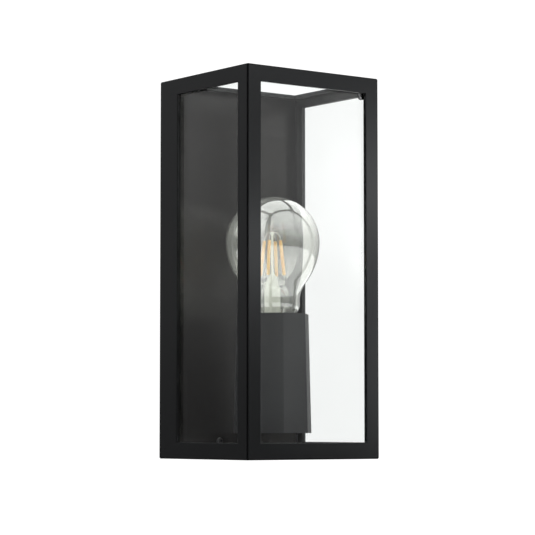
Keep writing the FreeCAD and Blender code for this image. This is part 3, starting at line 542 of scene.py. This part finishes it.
for v in glass_stem.data.vertices:
    v.select = SHOULDER_Z - 2 < v.co.z / MM < STEM_HEAD_Z - 0.2
bpy.ops.object.mode_set(mode="EDIT")
bpy.ops.mesh.select_mode(type="VERT")
bpy.ops.transform.resize(value=(1.0, PINCH, 1.0), center_override=(MOUNT_AXIS.x, MOUNT_AXIS.y, 0))
bpy.ops.object.mode_set(mode="OBJECT")
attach(glass_stem, "lamp")
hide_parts("bulb_stem")
report(glass_stem)

# %% [markdown]
# Pressed glass is thicker and never quite clear: ripples run up the tube. A noise that is squeezed
# along the height makes those streaks in the glass's normal.

# %% Stem glass
stem_clear = finish("pressed_glass", drawn,
                    {"Color": (0.98, 0.98, 0.92, 1), "Roughness": 0.06, "Lines": (900, 900, 40),
                     "Tone Shift": 0.1, "Gloss Shift": 0.03}, bump_mm=0.12,
                    Transmission_Weight=0.5, IOR=1.52)
let_light_in(stem_clear, (0.9, 0.92, 0.88, 1))
glass_stem.data.materials.append(stem_clear)
print(glass_stem.name, "has", stem_clear.name)

# %% [markdown]
# ## Filament bars
# Each bar is a row of tiny lamps on a strip, dipped in orange phosphor, so it looks like a rounded
# stick with a thin metal tab at each end. A bar is modelled standing up at the origin, then leaned
# and turned to its place. The same helpers make all four, and each bar has its own mesh.

# %% Model one bar
BAR_COUNT, FIRST_TURN = 4, 33.2
BAR_TOP, BAR_FOOT = Vector((5.6, 0, 18.0)), Vector((8.2, 0, -5.0))   # mm from the axis, height
BAR_R, BAR_ROUND = 1.1, 0.7
TAB_WIDTH, TAB_THICK, TAB_LENGTH = 1.1, 0.25, 2.6
TAB_TIP, TAB_EDGE = 0.45, 0.06   # the tip's share of the width, and the rounding of the edges
TAB_EXTRA = 0.4                  # half of this is sunk into the bar, half reaches past the tip
bar_length = (BAR_TOP - BAR_FOOT).length


def phosphor_stick():
    clear_selection()
    bpy.ops.mesh.primitive_cylinder_add(vertices=20, radius=BAR_R * MM, depth=bar_length * MM)
    stick = bpy.context.object
    apply_modifier(stick, "BEVEL", width=BAR_ROUND * MM, segments=4, limit_method="ANGLE")
    bpy.ops.object.shade_smooth_by_angle(angle=math.radians(40))
    return stick


def end_tab(side):
    """A thin flat tab that comes out of one end of the bar and narrows."""
    clear_selection()
    height = side * (bar_length + TAB_LENGTH) / 2
    bpy.ops.mesh.primitive_cube_add(size=1, location=(0, 0, height * MM))
    tab = bpy.context.object
    tab.scale = (TAB_WIDTH * MM, TAB_THICK * MM, (TAB_LENGTH + TAB_EXTRA) * MM)
    seat_mesh(tab)
    for v in tab.data.vertices:
        v.select = side * v.co.z > abs(height) * MM
    for e in tab.data.edges:
        e.select = all(tab.data.vertices[i].select for i in e.vertices)
    for f in tab.data.polygons:
        f.select = all(tab.data.vertices[i].select for i in f.vertices)
    bpy.ops.object.mode_set(mode="EDIT")
    bpy.ops.transform.resize(value=(TAB_TIP, 1, 1))
    bpy.ops.object.mode_set(mode="OBJECT")
    apply_modifier(tab, "BEVEL", width=TAB_EDGE * MM, segments=2)
    return tab


# %% [markdown]
# Unlit phosphor is a dull orange with light passing a little way into it, and the tabs and wires
# are drawn nickel. The bars lean inwards to the top and stand in a square round the mast.

# %% Finishes of the filaments
orange = finish("orange_phosphor", grain,
                {"Color": (0.86, 0.52, 0.17, 1), "Roughness": 0.5, "Pebbles": 2600.0,
                 "Clouds": 700.0, "Tone Shift": 0.18, "Gloss Shift": 0.1}, bump_mm=0.03,
                Subsurface_Weight=0.3, Subsurface_Scale=0.0008)
bright_nickel = finish("bright_nickel_wire", drawn,
                       {"Color": (0.72, 0.71, 0.68, 1), "Roughness": 0.24,
                        "Lines": (2500, 2500, 200), "Tone Shift": 0.08, "Gloss Shift": 0.08},
                       bump_mm=0.002, Metallic=1.0)
print(orange.name, "and", bright_nickel.name)

# %% Set the bars round the mast
bar_lean = math.atan2(BAR_FOOT.x - BAR_TOP.x, BAR_TOP.z - BAR_FOOT.z)


def bar_place(k):
    """Angle round the axis of bar k, in radians."""
    return math.radians(FIRST_TURN + 360.0 / BAR_COUNT * k)


def stand_up(piece, k):
    """Lean a piece that was made upright at the origin, and turn it to the place of bar k."""
    middle = (BAR_TOP + BAR_FOOT) / 2 * MM
    a = bar_place(k)
    piece.rotation_euler = (0, -bar_lean, a)
    piece.location = MOUNT_AXIS + Vector((middle.x * math.cos(a), middle.x * math.sin(a), middle.z))
    seat_mesh(piece)


def joined(name, parts):
    clear_selection()
    for part in parts:
        part.select_set(True)
    bpy.context.view_layer.objects.active = parts[0]
    bpy.ops.object.join()
    piece = bpy.context.object
    piece.name = piece.data.name = name
    return piece


sticks, tabs = [], []
for k in range(BAR_COUNT):
    sticks.append(phosphor_stick())
    stand_up(sticks[-1], k)
    for side in (-1, 1):
        tabs.append(end_tab(side))
        stand_up(tabs[-1], k)
filament_bars = joined("filament_bars", sticks)
filament_bars.data.materials.append(orange)
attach(filament_bars, "lamp")
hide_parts("filaments")
report(filament_bars)

# %% [markdown]
# ## Lead wires
# Bare nickel wires hang the bars on the mast's head and tie their feet to the stem. Each is a
# smooth curve with a round bevel, turned into a mesh and joined with the tabs.

# %% Bend the wires
WIRE_R = 0.26     # mm


def wire(points):
    """A round wire along a smooth line; points are in mm, (distance from axis, height, angle)."""
    clear_selection()
    bpy.ops.curve.primitive_nurbs_path_add()
    line = bpy.context.object
    spline = line.data.splines[0]
    spline.points.add(max(len(points) - len(spline.points), 0))
    while len(spline.points) > len(points):
        points = [*points, points[-1]]
    for point, (r, z, a) in zip(spline.points, points):
        place = MOUNT_AXIS + Vector((r * math.cos(a), r * math.sin(a), z)) * MM
        point.co = (*place, 1)
    spline.order_u = 3
    spline.use_endpoint_u = True
    line.data.bevel_depth = WIRE_R * MM
    line.data.bevel_resolution = 3
    line.data.resolution_u = 8
    line.data.use_fill_caps = True
    bpy.ops.object.convert(target="MESH")
    bpy.ops.object.shade_smooth_by_angle(angle=math.radians(50))
    return bpy.context.object


def along_bar(beyond):
    """(distance from axis, height) that far beyond the bar's top, or its foot if negative."""
    way = (BAR_TOP - BAR_FOOT).normalized()
    end = BAR_TOP + way * beyond if beyond > 0 else BAR_FOOT + way * beyond
    return end.x, end.z


wires = []
for k in range(BAR_COUNT):
    a = bar_place(k)
    top_r, top_z = along_bar(TAB_LENGTH)
    foot_r, foot_z = along_bar(-TAB_LENGTH)
    wires.append(wire([(0.7, 22.9, a), (2.2, 23.6, a), (3.6, 22.6, a),
                       (top_r - 0.4, top_z + 0.6, a), (top_r, top_z - 0.8, a)]))
    wires.append(wire([(foot_r, foot_z + 0.8, a), (foot_r + 0.1, foot_z - 0.8, a),
                       (foot_r - 1.6, foot_z - 2.6, a), (4.6, -11.4, a), (3.8, -12.6, a)]))
filament_wires = joined("filament_wires", wires + tabs)
filament_wires.data.materials.clear()
filament_wires.data.materials.append(bright_nickel)
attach(filament_wires, "lamp")
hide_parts("filament_leads")
report(filament_wires)

# %% [markdown]
# ## Studio
# The lantern hangs in a white room. What the camera sees directly or through the panes is white.
# What the surfaces mirror is a darker room with a few soft lights, as screens and lamps make it in
# a studio, so that the black paint shows its shapes. A pale floor lies well below.

# %% Floor
FLOOR_R, FLOOR_Z = 6.0, -0.75
clear_selection()
bpy.ops.mesh.primitive_circle_add(vertices=96, radius=FLOOR_R, fill_type="NGON",
                                  location=(0, 0, FLOOR_Z))
floor = bpy.context.object
floor.name = "studio_floor"
floor_white = finish("pale_floor", grain, {"Color": grey(0.8), "Roughness": 0.6, "Pebbles": 90.0,
                                           "Clouds": 2.0, "Tone Shift": 0.02, "Gloss Shift": 0.02})
floor.data.materials.append(floor_white)

# %% Lights of the room
WHITE = 1.12             # a little over one, because the panes take some of it
OUTER = [   # azimuth (0 in front, 90 on the left), elevation, half width in degrees, strength
    (323, 30, 22, 0.625),
    (143, 30, 22, 0.455),
    (143, 5, 16, 0.087),
]
INNER = [   # the same for what is mirrored behind the panes
    (0, 90, 60, 2.857),
    (323, 26, 14, 0.348),
    (323, 12, 10, 0.467),
    (90, 12, 35, 0.696),
    (225, 12, 35, 0.278),
    (280, 12, 35, 0.200),
]
RIM, CORE = 1.5, 0.4     # a light fades out from CORE to RIM times its half width


def toward(azimuth, elevation):
    """Unit vector from the lantern; azimuth 0 is in front of it, 90 on the viewer's left."""
    a, e = math.radians(azimuth), math.radians(elevation)
    return Vector((-math.sin(a) * math.cos(e), -math.cos(a) * math.cos(e), math.sin(e)))


def room_light(tree, direction, lobes, label):
    """Soft round lights in the given directions; the rest of the room is dark."""
    glow = 0.0
    for azimuth, elevation, half_width, strength in lobes:
        near = add_node(tree, "VectorMath", {0: direction, 1: toward(azimuth, elevation)},
                        operation="DOT_PRODUCT").outputs["Value"]
        lobe = add_node(tree, "MapRange",
                        {"Value": near, "From Min": math.cos(math.radians(half_width * RIM)),
                         "From Max": math.cos(math.radians(half_width * CORE)),
                         "To Min": 0.0, "To Max": strength},
                        interpolation_type="SMOOTHSTEP", label=label + "_lobe")
        glow = add_node(tree, "Math", {0: glow, 1: lobe.outputs[0]}, operation="ADD",
                        label=label + "_sum").outputs[0]
    return add_node(tree, "Background", {"Color": grey(1.0), "Strength": glow}).outputs[0]


def above_half(tree, value):
    return add_node(tree, "Math", {0: value, 1: 0.5}, operation="GREATER_THAN").outputs[0]


# %% [markdown]
# Light Path tells the kinds of ray apart. A ray that has not bounced yet sees plain white. One that
# has bounced sees the room's lights: the inner ones if it has passed through glass, else the
# outer. No real room does that; it lets what is behind the panes be lit apart from the frame.

# %% World
world = bpy.data.worlds.new("studio")
bpy.context.scene.world = world
world.use_nodes = True
tree = world.node_tree
tree.nodes.clear()
direction = add_node(tree, "TexCoord").outputs["Generated"]
path = add_node(tree, "LightPath")
outer = room_light(tree, direction, OUTER, "outer")
inner = room_light(tree, direction, INNER, "inner")
behind_glass = above_half(tree, path.outputs["Transmission Depth"])
room = add_node(tree, "MixShader", {0: behind_glass, 1: outer, 2: inner})
bounces = {0: path.outputs["Glossy Depth"], 1: path.outputs["Diffuse Depth"]}
bounced = add_node(tree, "Math", bounces, operation="ADD").outputs[0]
plain_white = add_node(tree, "Background", {"Color": grey(1.0), "Strength": WHITE}, label="white")
chosen = add_node(tree, "MixShader", {0: above_half(tree, bounced), 1: plain_white.outputs[0],
                                      2: room.outputs[0]})
add_node(tree, "OutputWorld", {"Surface": chosen.outputs[0]})
print(len(OUTER), "lights outside,", len(INNER), "behind glass")

# %% [markdown]
# Near cards of light give the flat paint its long soft gradients, because a card that is close is
# mirrored by one end of a rail more than by the other. Each card glows in its middle and fades out
# to its rim, so no pane mirrors a hard edge, and it lets the room shine through.

# %% Light cards
WIDE, SPOT, REAR = (0.09, 0.11), (0.03, 0.05), (0.08, 0.11)     # metres, the bright middle
CARDS = [   # place in metres, size, strength
    ((0.10, -0.30, 0.08), WIDE, 0.0163),
    ((0.10, -0.30, 0.21), WIDE, 0.8152),
    ((0.22, -0.30, 0.08), WIDE, 2.3897),
    ((0.34, -0.30, -0.05), WIDE, 7.0137),
    ((0.34, -0.30, 0.08), WIDE, 0.0943),
    ((0.10, -0.30, 0.026), SPOT, 5.7725),
    ((-0.25, 0.19, 0.00), REAR, 0.1505),
    ((-0.25, 0.28, 0.14), REAR, 0.0250),
]
CARD_AIM = Vector((0, -0.05, 0.0))
SPILL = 1.8     # a card is this much larger than its bright middle


def card_light(name, strength):
    """Glow that fades from the middle of a flat unit card, added to a clear surface."""
    mat = bpy.data.materials.new(name)
    mat.use_nodes = True
    tree = mat.node_tree
    tree.nodes.remove(tree.nodes["Principled BSDF"])
    place = add_node(tree, "TexCoord").outputs["Object"]
    reach = add_node(tree, "VectorMath", {0: place}, operation="LENGTH").outputs["Value"]
    fade = add_node(tree, "MapRange", {"Value": reach, "From Min": 0.5, "From Max": 0.0,
                                       "To Min": 0.0, "To Max": strength},
                    interpolation_type="SMOOTHSTEP", label="card_glow").outputs[0]
    glow = add_node(tree, "Emission", {"Strength": fade})
    clear = add_node(tree, "BsdfTransparent")
    both = add_node(tree, "AddShader", {0: glow.outputs[0], 1: clear.outputs[0]})
    tree.links.new(both.outputs[0], tree.nodes["Material Output"].inputs["Surface"])
    return mat


for k, (where, size, strength) in enumerate(CARDS):
    clear_selection()
    away = Vector(where) - CARD_AIM
    facing = away.to_track_quat("Z", "Y").to_euler()
    bpy.ops.mesh.primitive_plane_add(size=1, location=where, rotation=facing)
    card = bpy.context.object
    card.name = f"card_{k}"
    card.scale = (size[0] * SPILL, size[1] * SPILL, 1)
    card.data.materials.append(card_light(card.name, strength))
    card.visible_camera = card.visible_transmission = False
print(len(CARDS), "light cards")

# %% [markdown]
# ## Camera
# A long lens from below the middle, to the left of the front, as a wall lantern is usually shown.

# %% Camera
CAMERA_PLACE = (-0.8577, -1.1946, -0.1038)
CAMERA_TILT, CAMERA_PAN = 94.176, -36.815       # degrees; a tilt of 90 looks level
LENS_MM, SENSOR_MM = 146.36, 36.0
bpy.ops.object.camera_add(location=CAMERA_PLACE, rotation=(math.radians(CAMERA_TILT), 0,
                                                           math.radians(CAMERA_PAN)))
camera = bpy.context.object
camera.data.lens = LENS_MM
camera.data.sensor_width = SENSOR_MM
camera.data.clip_start, camera.data.clip_end = 0.05, 50.0
bpy.context.scene.camera = camera
bpy.context.scene.view_settings.view_transform = "Standard"
print("camera", tuple(round(v, 3) for v in camera.location), round(camera.data.lens, 1), "mm")
